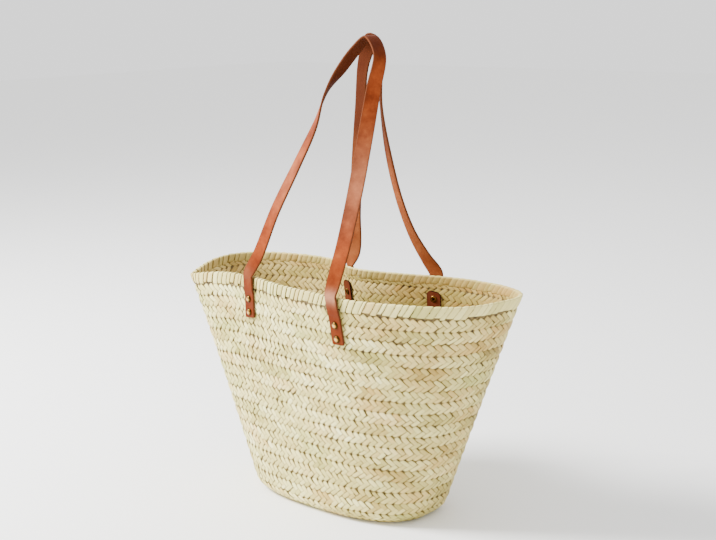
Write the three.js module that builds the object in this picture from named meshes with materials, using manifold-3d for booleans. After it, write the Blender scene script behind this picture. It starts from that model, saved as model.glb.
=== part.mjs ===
// Palm-leaf basket bag: a plaited and sewn wall with a flat oval base, a folded rim band, two flat leather
// shoulder straps riveted to the outside of the wall, and a leather tab inside behind each strap end.
// Millimetres, +Z up. X runs along the bag and the front wall is on the -Y side.
// The origin is the point under the crowns of the two straps, by which the bag hangs.
import * as THREE from "three";
import { mergeVertices } from "three/addons/utils/BufferGeometryUtils.js";
import Module from "manifold-3d";

const wasm = await Module();
wasm.setup();

// Driving dimensions
const basket = {
  height: 279, // underside of the base to the top edge of the plaited wall
  rimLength: 459,
  rimWidth: 171,
  baseLength: 258,
  baseWidth: 144,
  rimSquareness: 3.2, // power of the rim's plan curve: 2 is an ellipse, more is squarer
  baseSquareness: 2.6,
  lean: 0.19, // how far the rim is racked along X for each millimetre across
  footRadius: 15,
  wall: 2,
  ribHeight: 0.9, // how far each sewn course bulges
  courses: 17,
};
const band = { height: 13, leaf: 1.6, gap: 0.5 };
const strap = {
  width: 18,
  thickness: 2.6,
  hangHeight: 572, // underside of the base to the support under the crowns
  hangX: 49, // how far the support lies towards +X from the middle of the bag
  crownApart: 20, // across, between the middles of the two crowns
  endDrop: 55, // below the rim, measured down the wall
  endTaper: 3, // length over which the cut end narrows
  endNarrow: 0.8, // share of the width that is left at the cut
  gap: 1,
};
const tab = { width: 19, thickness: 1.8, topDrop: 17, endDrop: 55, gap: 0.6, topRound: 6 };
const rivet = { drops: [31.5, 48], headRadius: 4.6, headHeight: 2.2, postRadius: 1.5, capRadius: 4.2 };
const rivetFit = { clearance: 0.3, capHeight: 1.2, gap: 0.3 };
const seatRoom = 8; // length over which a strap steps out from the courses to the band

// Facets
const sides = 56; // round the basket
const innerRings = 5; // up the basket's smooth inner skin
const freeSteps = 3; // between two rows of a leg's route
const rivetSides = 10;
const holeSides = 12;
const tabSteps = 5;
const footShares = [0.1, 0.3, 0.6]; // heights of the rings round the foot, as shares of its radius
const floorShare = 0.4; // height of the inner ring just over the floor, from the floor to the foot's top
const cornerShares = [0, 0.12, 0.4, 0.7, 1]; // down a tab's rounded top
const domeShares = [0.9, 0.6, 0.25]; // radii of a rivet head's rings
const fineSteps = 1440; // for measuring round the rim
const angleStep = 0.02; // to either side, for the wall's directions at a place
const heightStep = 2;
// Where a strap's sections lie on the wall, as shares of its end's drop below the rim: less than 0 is above.
const seatShares = [1, 0.93, 0.8, 0.65, 0.5, 0.38, 0.3, 0.22, 0.12, 0.02, -0.09];

// Dents (positive depth) and swells of the wall. side -1 is the front. at and spread are shares of half the
// basket's length, depth is a share of half its width, fade is the power with which it dies out downwards.
const dents = [
  { side: 1, at: -0.2, spread: 0.2, depth: 0.17, fade: 2 },
  { side: 1, at: 0.02, spread: 0.36, depth: 0.36, fade: 1.3 },
  { side: -1, at: -0.37, spread: 0.25, depth: 0.19, fade: 1.5 },
  { side: -1, at: 0.47, spread: 0.26, depth: -0.13, fade: 1.5 },
  { side: -1, at: -0.645, spread: 0.2, depth: 0.195, fade: 1.5 },
];

// Where the wall sags below its own height. at and across are the place in plan as shares of half the basket's
// length and width, spread is in the same shares, drop is a share of its height and fade as for the dents.
const sags = [{ at: -1.1, across: -0.61, spread: 0.45, drop: 0.061, fade: 2.5 }];

// Each leg's free stretch from the rim to the crown. rise is the share of the way up to the crown, bow the
// sideways bow towards +X as a share of half the strap's spacing, face the heading in degrees of the strap's
// outer face (0 is +X, -90 is the front) and tip how far that face turns up.
const legRoutes = {
  frontLeft: [
    { rise: 0.09, bow: 0, face: -96, tip: 0 },
    { rise: 0.28, bow: -0.104, face: -105, tip: 0 },
    { rise: 0.48, bow: -0.133, face: -115, tip: 0 },
    { rise: 0.64, bow: -0.167, face: -126, tip: 0 },
    { rise: 0.77, bow: -0.27, face: -148, tip: 4 },
    { rise: 0.87, bow: -0.205, face: -185, tip: 25 },
    { rise: 0.95, bow: -0.117, face: -195, tip: 42 },
  ],
  frontRight: [
    { rise: 0.05, bow: 0.02, face: -80, tip: 0 },
    { rise: 0.2, bow: 0.1, face: -75, tip: 0 },
    { rise: 0.4, bow: 0.163, face: -65, tip: 0 },
    { rise: 0.62, bow: 0.196, face: -45, tip: 0 },
    { rise: 0.8, bow: 0.215, face: -28, tip: 0 },
    { rise: 0.93, bow: 0.23, face: -12, tip: 10 },
  ],
  backLeft: [
    { rise: 0.06, bow: 0.096, face: 92, tip: 0 },
    { rise: 0.24, bow: 0, face: 90, tip: 0 },
    { rise: 0.46, bow: -0.09, face: 86, tip: 0 },
    { rise: 0.7, bow: -0.158, face: 80, tip: 0 },
    { rise: 0.9, bow: -0.182, face: 80, tip: 22 },
  ],
  backRight: [
    { rise: 0.06, bow: -0.15, face: 82, tip: 0 },
    { rise: 0.16, bow: -0.34, face: 70, tip: 0 },
    { rise: 0.3, bow: -0.44, face: 65, tip: 0 },
    { rise: 0.5, bow: -0.42, face: 61, tip: 0 },
    { rise: 0.72, bow: -0.27, face: 46, tip: 0 },
    { rise: 0.9, bow: -0.02, face: 50, tip: 18 },
  ],
};

// The straps. spacing is between the middles of the two ends and shift how far their middle lies towards +X
// from the bag's, as shares of the rim's length. lift is how much less far down the wall the left and the right
// end reach, as shares of the strap's end drop. crownShift is the crown's place towards +X as a share of the
// distance between the crowns, and crownFace and crownTip the outer face's heading and upward turn there.
const straps = [
  {
    name: "front", side: -1, spacing: 0.368, shift: 0.001, lift: [0.11, 0.036],
    crownShift: 0.25, crownFace: 0, crownTip: 88, legs: ["frontLeft", "frontRight"],
  },
  {
    name: "back", side: 1, spacing: 0.277, shift: 0.0185, lift: [0, 0.09],
    crownShift: -0.25, crownFace: 80, crownTip: 72, legs: ["backLeft", "backRight"],
  },
];
const hands = ["left", "right"];

// Colours
const straw = new THREE.MeshStandardMaterial({ color: 0xdcd3ae, roughness: 0.85, metalness: 0 });
const leather = new THREE.MeshStandardMaterial({ color: 0xb5622f, roughness: 0.5, metalness: 0 });
const tabLeather = new THREE.MeshStandardMaterial({ color: 0x8f4526, roughness: 0.6, metalness: 0 });
const brass = new THREE.MeshStandardMaterial({ color: 0x9c7a45, roughness: 0.4, metalness: 0.9 });

const { lerp, degToRad } = THREE.MathUtils;
const lowest = -strap.hangHeight; // the base's underside in the bag's own frame

// How far the plan is drawn in at a height, for the rounded foot.
function footInset(height) {
  const left = Math.max(0, basket.footRadius - height);
  return basket.footRadius - Math.sqrt(basket.footRadius ** 2 - left ** 2);
}

// A point of the basket's wall. angle runs round the plan, height is above the base's underside, and skin is
// the distance outside the middle of the wall.
function wallPoint(angle, height, skin) {
  const share = height / basket.height;
  const inset = footInset(height);
  const halfLength = lerp(basket.baseLength, basket.rimLength, share) / 2 - inset;
  const halfWidth = lerp(basket.baseWidth, basket.rimWidth, share) / 2 - inset;
  const power = lerp(basket.baseSquareness, basket.rimSquareness, share);
  const c = Math.cos(angle);
  const s = Math.sin(angle);
  const reach = (Math.abs(c) ** power + Math.abs(s) ** power) ** (-1 / power);
  let across = (halfWidth + skin) * reach * s;
  for (const dent of dents) {
    if (Math.sign(s) !== dent.side) continue;
    const fall = Math.exp(-(((reach * c - dent.at) / dent.spread) ** 2));
    across -= dent.side * dent.depth * halfWidth * fall * share ** dent.fade * Math.abs(reach * s);
  }
  const along = (halfLength + skin) * reach * c + basket.lean * across * share;
  let up = height;
  for (const sag of sags) {
    const away = Math.hypot(reach * c - sag.at, reach * s - sag.across) / sag.spread;
    up -= sag.drop * basket.height * Math.exp(-(away ** 2)) * share ** sag.fade;
  }
  return new THREE.Vector3(along - strap.hangX, across, lowest + up);
}

// The angles of evenly spaced points round the rim, so that all rings share their facets.
function evenAngles() {
  const lengths = [0];
  let last = wallPoint(0, basket.height, 0);
  for (let i = 1; i <= fineSteps; i++) {
    const next = wallPoint((2 * Math.PI * i) / fineSteps, basket.height, 0);
    lengths.push(lengths[i - 1] + next.distanceTo(last));
    last = next;
  }
  const angles = [];
  for (let i = 0, k = 0; k < sides; k++) {
    while (lengths[i + 1] < (lengths[fineSteps] * k) / sides) i++;
    angles.push((2 * Math.PI * i) / fineSteps);
  }
  return angles;
}
const ringAngles = evenAngles();
const ring = (height, skin) => ringAngles.map((angle) => wallPoint(angle, height, skin));

// Joins rings of equally many points, or of one point at a pole, into one surface. closed joins the last ring
// to the first; capped covers the first and the last.
function loft(rings, { closed = false, capped = false } = {}) {
  const points = [];
  const starts = rings.map((row) => points.push(...row) - row.length);
  const index = [];
  const last = rings.length - 1;
  for (let r = 0; r < (closed ? rings.length : last); r++) {
    const next = r === last ? 0 : r + 1;
    const n = Math.max(rings[r].length, rings[next].length);
    for (let k = 0; k < n; k++) {
      const a = starts[r] + (rings[r].length > 1 ? k : 0);
      const b = starts[r] + (rings[r].length > 1 ? (k + 1) % n : 0);
      const c = starts[next] + (rings[next].length > 1 ? (k + 1) % n : 0);
      const d = starts[next] + (rings[next].length > 1 ? k : 0);
      if (a !== b) index.push(a, b, c);
      if (c !== d) index.push(a, c, d);
    }
  }
  if (capped) {
    for (let k = 1; k < rings[0].length - 1; k++) {
      index.push(starts[0], starts[0] + k + 1, starts[0] + k);
      index.push(starts[last], starts[last] + k, starts[last] + k + 1);
    }
  }
  const geometry = new THREE.BufferGeometry().setFromPoints(points);
  geometry.setIndex(index);
  return geometry;
}

function solidOf(geometry) {
  const bare = geometry.clone();
  bare.deleteAttribute("normal");
  bare.deleteAttribute("uv");
  const merged = mergeVertices(bare, 1e-3);
  return new wasm.Manifold(
    new wasm.Mesh({
      numProp: 3,
      vertProperties: merged.attributes.position.array,
      triVerts: new Uint32Array(merged.index.array),
    }),
  );
}

function geometryOf(solid) {
  const mesh = solid.getMesh();
  const geometry = new THREE.BufferGeometry();
  geometry.setAttribute("position", new THREE.BufferAttribute(mesh.vertProperties, 3));
  geometry.setIndex(new THREE.BufferAttribute(mesh.triVerts, 1));
  return geometry;
}

// The basket: the outer skin from the middle of the flat base up over the foot and the ribs, then the inner
// skin back down to the floor.
function basketGeometry() {
  const half = basket.wall / 2;
  const ribTop = basket.height - band.height - basket.ribHeight;
  const course = (ribTop - basket.footRadius) / basket.courses;
  const under = new THREE.Vector3(-strap.hangX, 0, lowest);
  const floor = new THREE.Vector3(-strap.hangX, 0, lowest + basket.wall);
  const halfWay = (points, middle) => points.map((p) => p.clone().lerp(middle, 0.5));
  const flat = ring(0, half);
  const rings = [[under], halfWay(flat, under), flat];
  for (const share of footShares) rings.push(ring(basket.footRadius * share, half));
  for (let k = 0; k < basket.courses; k++) {
    rings.push(ring(basket.footRadius + course * k, half));
    rings.push(ring(basket.footRadius + course * (k + 0.5), half + basket.ribHeight));
  }
  rings.push(ring(ribTop, half), ring(basket.height, half), ring(basket.height, -half));
  for (let k = innerRings; k >= 0; k--) {
    rings.push(ring(lerp(basket.footRadius, ribTop, k / innerRings), -half));
  }
  rings.push(ring(lerp(basket.wall, basket.footRadius, floorShare), -half));
  const floorRing = ring(basket.wall, -half);
  rings.push(floorRing, halfWay(floorRing, floor), [floor]);
  return loft(rings);
}

// The folded band over the wall's top edge: a section like an upside-down U carried round the rim.
function bandGeometry() {
  const near = basket.wall / 2 + band.gap;
  const far = near + band.leaf;
  const low = basket.height - band.height;
  const top = basket.height + band.gap;
  const section = [
    [far, low],
    [far, top],
    [near, top + band.leaf],
    [-near, top + band.leaf],
    [-far, top],
    [-far, low],
    [-near, low],
    [-near, top],
    [near, top],
    [near, low],
  ];
  return loft(section.map(([skin, height]) => ring(height, skin)), { closed: true });
}

// The place on the wall of a strap's left or right end (hand 0 or 1) at a drop below the rim, with its three
// directions: along the wall, up it and out of it.
function seatOn(which, hand, drop, skin) {
  const height = basket.height - drop;
  const share = height / basket.height;
  const power = lerp(basket.baseSquareness, basket.rimSquareness, share);
  const x = (which.shift + (hand - 0.5) * which.spacing) * basket.rimLength;
  const want = x / (lerp(basket.baseLength, basket.rimLength, share) / 2);
  let low = 0; // from the +X end round the front or the back to the -X end
  let high = Math.PI;
  for (let i = 0; i < 40; i++) {
    const mid = (low + high) / 2;
    const c = Math.cos(mid);
    const s = Math.sin(mid);
    if (c * (Math.abs(c) ** power + s ** power) ** (-1 / power) > want) low = mid;
    else high = mid;
  }
  const angle = which.side * low;
  const at = wallPoint(angle, height, 0);
  const along = wallPoint(angle + angleStep, height, 0).sub(wallPoint(angle - angleStep, height, 0));
  const up = wallPoint(angle, height + heightStep, 0).sub(wallPoint(angle, height - heightStep, 0));
  up.normalize();
  const out = along.cross(up).normalize();
  return { at: at.addScaledVector(out, skin), along: out.clone().cross(up).negate(), up, out };
}

// How far outside the wall's middle a strap's middle lies: over the courses, or over the band.
function strapSkin(drop) {
  const overCourse = basket.wall / 2 + basket.ribHeight + strap.gap + strap.thickness / 2;
  const overBand = basket.wall / 2 + band.gap + band.leaf + strap.gap + strap.thickness / 2;
  return lerp(overBand, overCourse, THREE.MathUtils.smoothstep(drop, band.height, band.height + seatRoom));
}

// How much less far down the wall a strap's end, its tab and its rivets sit.
function liftOf(which, hand) {
  return which.lift[hand] * strap.endDrop;
}

// The middle of a strap's crown, just over the support.
function crownOf(which) {
  const apart = strap.crownApart;
  return new THREE.Vector3(which.crownShift * apart, (which.side * apart) / 2, strap.thickness / 2);
}

// The direction of a face with its heading and its upward turn in degrees.
function faceOf(heading, tip) {
  const level = Math.cos(degToRad(tip));
  const turn = degToRad(heading);
  return new THREE.Vector3(level * Math.cos(turn), level * Math.sin(turn), Math.sin(degToRad(tip)));
}

// The stations of one leg from its cut end up to just below the crown.
function legStations(which, hand) {
  const endDrop = strap.endDrop - liftOf(which, hand);
  const stations = seatShares.map((share) => {
    const drop = share * endDrop;
    const seat = seatOn(which, hand, drop, strapSkin(drop));
    const narrow = endDrop - drop < strap.endTaper ? strap.endNarrow : 1;
    return { at: seat.at, face: seat.out, narrow };
  });
  const rim = stations[stations.length - 1].at;
  for (const row of legRoutes[which.legs[hand]]) {
    const at = rim.clone().lerp(crownOf(which), row.rise);
    at.x += (row.bow * which.spacing * basket.rimLength) / 2;
    stations.push({ at, face: faceOf(row.face, row.tip), narrow: 1 });
  }
  return stations;
}

// A strap's stations from its left cut end over the crown to its right one.
function strapStations(which) {
  const crown = { at: crownOf(which), face: faceOf(which.crownFace, which.crownTip), narrow: 1 };
  return [...legStations(which, 0), crown, ...legStations(which, 1).reverse()];
}

// The middle line is a smooth curve through the stations, and the section is a flat strip square to it.
function strapGeometry(which) {
  const stations = strapStations(which);
  const curve = new THREE.CatmullRomCurve3(stations.map((s) => s.at), false, "centripetal");
  const rings = [];
  const last = stations.length - 1;
  for (let i = 0; i <= last; i++) {
    const free = i >= seatShares.length - 1 && i <= last - seatShares.length;
    const steps = free ? freeSteps : 1;
    for (let j = 0; j < steps; j++) {
      const share = j / steps;
      const at = curve.getPoint((i + share) / last);
      const along = curve.getTangent(Math.min(1, (i + share) / last));
      const next = stations[Math.min(last, i + 1)];
      const face = stations[i].face.clone().lerp(next.face, share).normalize();
      const wide = along.clone().cross(face).normalize();
      const out = wide.clone().cross(along);
      const halfWidth = (strap.width / 2) * lerp(stations[i].narrow, next.narrow, share);
      rings.push(stripSection(at, wide, halfWidth, out, strap.thickness / 2));
    }
  }
  return loft(rings, { capped: true });
}

// The four corners of a flat strip's section.
function stripSection(at, wide, halfWidth, out, halfThickness) {
  return [[-1, 1], [1, 1], [1, -1], [-1, -1]].map(([u, v]) =>
    at.clone().addScaledVector(wide, u * halfWidth).addScaledVector(out, v * halfThickness),
  );
}

// A solid turned about an axis through a seat, from a profile of [radius, distance outside the middle].
function turnedAt(seat, profile, facets) {
  const points = profile.map(([radius, away]) => new THREE.Vector2(radius, away));
  const geometry = new THREE.LatheGeometry(points, facets);
  const turn = new THREE.Quaternion().setFromUnitVectors(new THREE.Vector3(0, 1, 0), seat.out);
  geometry.applyQuaternion(turn);
  geometry.translate(seat.at.x, seat.at.y, seat.at.z);
  return geometry;
}

// The distances outside the wall's middle at which a rivet's head and cap sit.
const headSeat = strapSkin(strap.endDrop) + strap.thickness / 2 + rivetFit.gap;
const capSeat = -(basket.wall / 2 + tab.gap + tab.thickness + rivetFit.gap);

function rivetGeometry(seat) {
  const dome = domeShares.map((share) => [
    rivet.headRadius * share,
    headSeat + rivet.headHeight * Math.sqrt(1 - share ** 2),
  ]);
  const profile = [
    [0, capSeat - rivetFit.capHeight],
    [rivet.capRadius * 0.8, capSeat - rivetFit.capHeight],
    [rivet.capRadius, capSeat - rivetFit.capHeight / 2],
    [rivet.capRadius, capSeat],
    [rivet.postRadius, capSeat],
    [rivet.postRadius, headSeat],
    [rivet.headRadius, headSeat],
    ...dome,
    [0, headSeat + rivet.headHeight],
  ];
  return turnedAt(seat, profile, rivetSides);
}

// The hole that a rivet's post passes through.
function holeAt(seat) {
  const radius = rivet.postRadius + rivetFit.clearance;
  const reach = headSeat + rivet.headHeight;
  return solidOf(turnedAt(seat, [[0, -reach], [radius, -reach], [radius, reach], [0, reach]], holeSides));
}

// A tab lies against the inside of the wall, with its two top corners cut round.
function tabGeometry(which, hand) {
  const endDrop = tab.endDrop - liftOf(which, hand);
  const skin = -(basket.wall / 2 + tab.gap + tab.thickness / 2);
  const drops = cornerShares.map((share) => tab.topDrop + share * tab.topRound);
  for (let k = 1; k <= tabSteps; k++) drops.push(lerp(tab.topDrop + tab.topRound, endDrop, k / tabSteps));
  const rings = drops.map((drop) => {
    const seat = seatOn(which, hand, drop, skin);
    const short = Math.max(0, tab.topRound - (drop - tab.topDrop));
    const inset = tab.topRound - Math.sqrt(tab.topRound ** 2 - short ** 2);
    const wide = seat.along.clone().negate();
    return stripSection(seat.at, wide, tab.width / 2 - inset, seat.out, tab.thickness / 2);
  });
  return loft(rings, { capped: true });
}

const bag = new THREE.Group();

function addPiece(name, geometry, material) {
  geometry.computeVertexNormals();
  const mesh = new THREE.Mesh(geometry, material);
  mesh.name = name;
  bag.add(mesh);
}

let basketSolid = solidOf(basketGeometry());
for (const which of straps) {
  let strapSolid = solidOf(strapGeometry(which));
  hands.forEach((word, hand) => {
    let tabSolid = solidOf(tabGeometry(which, hand));
    rivet.drops.forEach((drop, i) => {
      const seat = seatOn(which, hand, drop - liftOf(which, hand), 0);
      const hole = holeAt(seat);
      basketSolid = basketSolid.subtract(hole);
      strapSolid = strapSolid.subtract(hole);
      tabSolid = tabSolid.subtract(hole);
      addPiece(`rivet_${which.name}_${word}_${["upper", "lower"][i]}`, rivetGeometry(seat), brass);
    });
    addPiece(`tab_${which.name}_${word}`, geometryOf(tabSolid), tabLeather);
  });
  addPiece(`strap_${which.name}`, geometryOf(strapSolid), leather);
}
addPiece("basket_body", geometryOf(basketSolid), straw);
addPiece("rim_band", bandGeometry(), straw);

export default bag;
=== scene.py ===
import bpy
import numpy as np
from mathutils import Matrix


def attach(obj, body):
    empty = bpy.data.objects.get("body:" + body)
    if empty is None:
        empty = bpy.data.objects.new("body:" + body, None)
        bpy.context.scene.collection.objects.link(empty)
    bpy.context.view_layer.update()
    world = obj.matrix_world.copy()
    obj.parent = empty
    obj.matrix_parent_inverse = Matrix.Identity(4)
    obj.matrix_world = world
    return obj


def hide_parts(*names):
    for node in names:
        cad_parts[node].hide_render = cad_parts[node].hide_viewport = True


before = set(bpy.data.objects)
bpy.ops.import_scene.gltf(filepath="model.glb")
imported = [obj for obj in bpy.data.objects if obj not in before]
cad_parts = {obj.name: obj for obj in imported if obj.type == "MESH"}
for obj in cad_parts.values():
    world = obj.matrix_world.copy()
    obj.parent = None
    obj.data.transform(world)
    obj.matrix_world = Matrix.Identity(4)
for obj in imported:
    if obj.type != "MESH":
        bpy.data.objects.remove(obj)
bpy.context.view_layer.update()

# A palm-leaf basket bag: plaited wall and base, folded rim band, two leather straps, tabs and brass
# rivets. Sizes are millimetres in the part's own frame until a mesh is made, angles are radians unless
# named degrees.
print("frame loaded")


# Small helpers

def linearColour(text):
    # sRGB hex to linear: a straight line below 0.04045 and a power of 2.4 above it
    srgb = np.array([int(text[i:i + 2], 16) for i in (0, 2, 4)]) / 255
    linear = np.where(srgb <= 0.04045, srgb / 12.92, ((srgb + 0.055) / 1.055) ** 2.4)
    return (*linear.tolist(), 1.0)


def addNode(tree, kind, settings=None, links=None):
    # settings: attribute or input name to value; links: input name to an output socket
    node = tree.nodes.new(kind)
    for key, value in (settings or {}).items():
        if key in node.inputs:
            node.inputs[key].default_value = value
        else:
            setattr(node, key, value)
    for key, socket in (links or {}).items():
        tree.links.new(socket, node.inputs[key])
    return node


def startMaterial(name, **shader):
    material = bpy.data.materials.new(name)
    material.use_nodes = True
    tree = material.node_tree
    surface = tree.nodes["Principled BSDF"]
    for key, value in shader.items():
        surface.inputs[key.replace("_", " ")].default_value = value
    return material, tree, surface


def clampedSum(tree, value, times, plus):
    # value times a number, plus another value, kept between 0 and 1
    node = addNode(tree, "ShaderNodeMath", {"operation": "MULTIPLY_ADD", "use_clamp": True},
                   {0: value, 2: plus})
    node.inputs[1].default_value = times
    return node.outputs["Value"]


def smoothRange(tree, value, start, end, most):
    # 0 at start and most at end, with a smooth step between
    node = addNode(tree, "ShaderNodeMapRange", {"interpolation_type": "SMOOTHSTEP", "From Min": start,
                                                "From Max": end, "To Max": most}, {"Value": value})
    return node.outputs["Result"]


def colourRamp(tree, factor, stops):
    ramp = addNode(tree, "ShaderNodeValToRGB", links={"Fac": factor})
    elements = ramp.color_ramp.elements
    while len(elements) < len(stops):
        elements.new(0.5)
    for element, (place, text) in zip(elements, stops):
        element.position = place
        element.color = linearColour(text)
    return ramp.outputs["Color"]


def mixColours(tree, factor, first, second, blend="MIX"):
    # inputs 6 and 7 of a colour Mix node are its A and B
    mix = tree.nodes.new("ShaderNodeMix")
    mix.data_type = "RGBA"
    mix.blend_type = blend
    for index, value in ((0, factor), (6, first), (7, second)):
        if isinstance(value, bpy.types.NodeSocket):
            tree.links.new(value, mix.inputs[index])
        else:
            mix.inputs[index].default_value = value
    return mix.outputs[2]


def makeMesh(name, points, loopStarts, loops, material, nodes=(), sharpDegrees=50, layers=None):
    # points in mm; loopStarts and loops describe the faces; layers holds point attributes and a "uv" pair
    mesh = bpy.data.meshes.new(name)
    mesh.vertices.add(len(points))
    mesh.vertices.foreach_set("co", (np.asarray(points) / 1000).astype(np.float32).ravel())
    mesh.loops.add(len(loops))
    mesh.loops.foreach_set("vertex_index", loops.astype(np.int32))
    mesh.polygons.add(len(loopStarts))
    mesh.polygons.foreach_set("loop_start", loopStarts.astype(np.int32))
    mesh.update(calc_edges=True)
    mesh.validate()
    for key, values in (layers or {}).items():
        if key == "uv":
            layer = mesh.uv_layers.new(name="strand")
            layer.data.foreach_set("uv", values[loops].astype(np.float32).ravel())
        else:
            kind = "FLOAT" if values.ndim == 1 else "FLOAT_VECTOR"
            field = "value" if values.ndim == 1 else "vector"
            layer = mesh.attributes.new(key, kind, "POINT")
            layer.data.foreach_set(field, values.astype(np.float32).ravel())
    mesh.shade_smooth()
    mesh.set_sharp_from_angle(angle=np.radians(sharpDegrees))
    mesh.materials.append(material)
    piece = bpy.data.objects.new(name, mesh)
    bpy.context.scene.collection.objects.link(piece)
    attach(piece, "root")
    if nodes:
        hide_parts(*nodes)
    return piece


def gridFaces(rows, columns, wrapRows=False, wrapColumns=False):
    # quads of a grid of points stored row by row; each runs row, next column, next row
    r = np.arange(rows if wrapRows else rows - 1)[:, None]
    c = np.arange(columns if wrapColumns else columns - 1)[None, :]
    r2, c2 = (r + 1) % rows, (c + 1) % columns
    corners = [r * columns + c, r * columns + c2, r2 * columns + c2, r2 * columns + c]
    return np.stack(corners, -1).reshape(-1, 4)


def quadLoops(quads):
    return np.arange(len(quads)) * 4, quads.ravel()


def stacked(shape, *parts):
    # the parts stretched to one shape and laid side by side in a last axis
    return np.stack([np.broadcast_to(part, shape) for part in parts], -1)


# The basket's form, the same as the part's

basket = {
    "height": 279, "rimLength": 459, "rimWidth": 171, "baseLength": 258, "baseWidth": 144,
    "rimSquareness": 3.2, "baseSquareness": 2.6, "lean": 0.19, "footRadius": 15, "wall": 2,
    "ribHeight": 0.9, "courses": 17, "bandHeight": 13, "hangX": 49, "hangHeight": 572,
}
# side, place and spread as shares of half the length, depth as a share of half the width, fade downwards
dents = np.array([
    (1, -0.2, 0.2, 0.17, 2),
    (1, 0.02, 0.36, 0.36, 1.3),
    (-1, -0.37, 0.25, 0.19, 1.5),
    (-1, 0.47, 0.26, -0.13, 1.5),
    (-1, -0.645, 0.2, 0.195, 1.5),
])
# place along and across and spread as shares of half the sizes, drop as a share of the height, fade
# downwards
sags = [(-1.1, -0.61, 0.45, 0.061, 2.5)]
footArc = basket["footRadius"] * np.pi / 2
wallTop = footArc + basket["height"] - basket["footRadius"]


def wallPoint(angle, height, skin):
    # superellipse |c|^p + |s|^p = 1 scaled to the half sizes at that height, less a depth times
    # exp(-(distance / spread)^2) for each dent, then sheared; sags lower it by the same rule
    share = height / basket["height"]
    left = np.clip(basket["footRadius"] - height, 0, basket["footRadius"])
    inset = basket["footRadius"] - np.sqrt(basket["footRadius"] ** 2 - left ** 2)
    halfLength = (basket["baseLength"] + (basket["rimLength"] - basket["baseLength"]) * share) / 2 - inset
    halfWidth = (basket["baseWidth"] + (basket["rimWidth"] - basket["baseWidth"]) * share) / 2 - inset
    power = basket["baseSquareness"] + (basket["rimSquareness"] - basket["baseSquareness"]) * share
    c, s = np.cos(angle), np.sin(angle)
    reach = (np.abs(c) ** power + np.abs(s) ** power) ** (-1 / power)
    across = (halfWidth + skin) * reach * s
    for side, at, spread, depth, fade in dents:
        fall = np.exp(-(((reach * c - at) / spread) ** 2)) * np.clip(share, 0, None) ** fade
        dent = side * depth * halfWidth * fall * np.abs(reach * s)
        across = across - np.where(np.sign(s) == side, dent, 0)
    along = (halfLength + skin) * reach * c + basket["lean"] * across * share
    up = np.broadcast_to(height - basket["hangHeight"], along.shape)
    for at, sideways, spread, drop, fade in sags:
        away = ((reach * c - at) ** 2 + (reach * s - sideways) ** 2) / spread ** 2
        up = up - drop * basket["height"] * np.exp(-away) * np.clip(share, 0, None) ** fade
    return np.stack([along - basket["hangX"], across, up], -1)


# Angles at even shares of the way round, for a fan of heights that ends a little above the rim
lookUp = {"rows": 60, "columns": 721, "fine": 2881, "above": 4}
tableHeights = np.linspace(0, basket["height"] + lookUp["above"], lookUp["rows"])
tableShares = np.linspace(0, 1, lookUp["columns"])


def angleTable():
    fine = np.linspace(0, 2 * np.pi, lookUp["fine"])
    rows = []
    for height in tableHeights:
        steps = np.linalg.norm(np.diff(wallPoint(fine, height, 0.0), axis=0), axis=1)
        length = np.concatenate([[0], np.cumsum(steps)])
        rows.append(np.interp(tableShares, length / length[-1], fine))
    return np.array(rows)


angles = angleTable()


def angleAt(share, height):
    # bilinear look-up; whole turns are added back
    turns = np.floor(share)
    column = (share - turns) * (len(tableShares) - 1)
    row = np.clip(height / tableHeights[-1], 0, 1) * (len(tableHeights) - 1)
    c0 = np.minimum(column.astype(int), len(tableShares) - 2)
    r0 = np.minimum(row.astype(int), len(tableHeights) - 2)
    fc, fr = column - c0, row - r0
    low = angles[r0, c0] * (1 - fc) + angles[r0, c0 + 1] * fc
    high = angles[r0 + 1, c0] * (1 - fc) + angles[r0 + 1, c0 + 1] * fc
    return low * (1 - fr) + high * fr + 2 * np.pi * turns


flatReach = basket["baseWidth"] / 2 - basket["footRadius"]  # from the flat base's edge to its middle line
baseRise = 1.9  # the base's skin runs this far over the floor, so that its strands stand on it


def surfaceAt(share, travel, off):
    # travel is the way up the skin from the flat base's edge: below 0 it runs in over the base to its
    # middle line, to footArc round the foot, then up the wall. off is the distance out of the skin.
    turn = np.clip(travel / basket["footRadius"], 0, np.pi / 2)
    height = basket["footRadius"] * (1 - np.cos(turn)) + np.clip(travel - footArc, 0, None)
    point = wallPoint(angleAt(share, height), height, off * np.sin(turn))
    drawn = np.clip(travel / flatReach, -1, 0)
    point[..., 0] = (point[..., 0] + basket["hangX"]) * (1 + drawn / 2) - basket["hangX"]
    point[..., 1] *= 1 + drawn
    point[..., 2] += (baseRise - off) * np.cos(turn)
    return point


def wayRound(travel):
    shares = np.linspace(0, 1, 361)
    points = surfaceAt(shares, np.full(shares.shape, travel), np.zeros(shares.shape))
    return np.linalg.norm(np.diff(points, axis=0), axis=1).sum()


print("basket form ready")


# Dried palm leaf: split doum or date leaf, plaited damp. Pale cream with greener and pinker patches,
# matt, with fine fibres along each strand and browner edges where it was split. Painted shade darkens
# the edges between strands and their tucked ends, and paints the inside a warmer, darker tan.

leafLook = {
    "stops": [(0.0, "847437"), (0.25, "b5a65a"), (0.5, "cfc176"), (0.75, "e2d68c"), (1.0, "f4ecaa")],
    "hues": (("c3cfa0", 0.55, 1.0), ("e6bf95", 0.45, 0.0)), "hueMost": 0.75, "inside": "ecdecd",
    "edge": "8b7440", "edgeFrom": (("Y", 0.66), ("X", 0.72)), "edgeMost": 0.7,
    "fibresPerMm": 1.6, "fibreLengthMm": 9, "fibreShare": 0.34, "shiftMm": 400,
    "gloss": 0.35, "bump": {"Strength": 0.35, "Distance": 0.00025},
}


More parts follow.
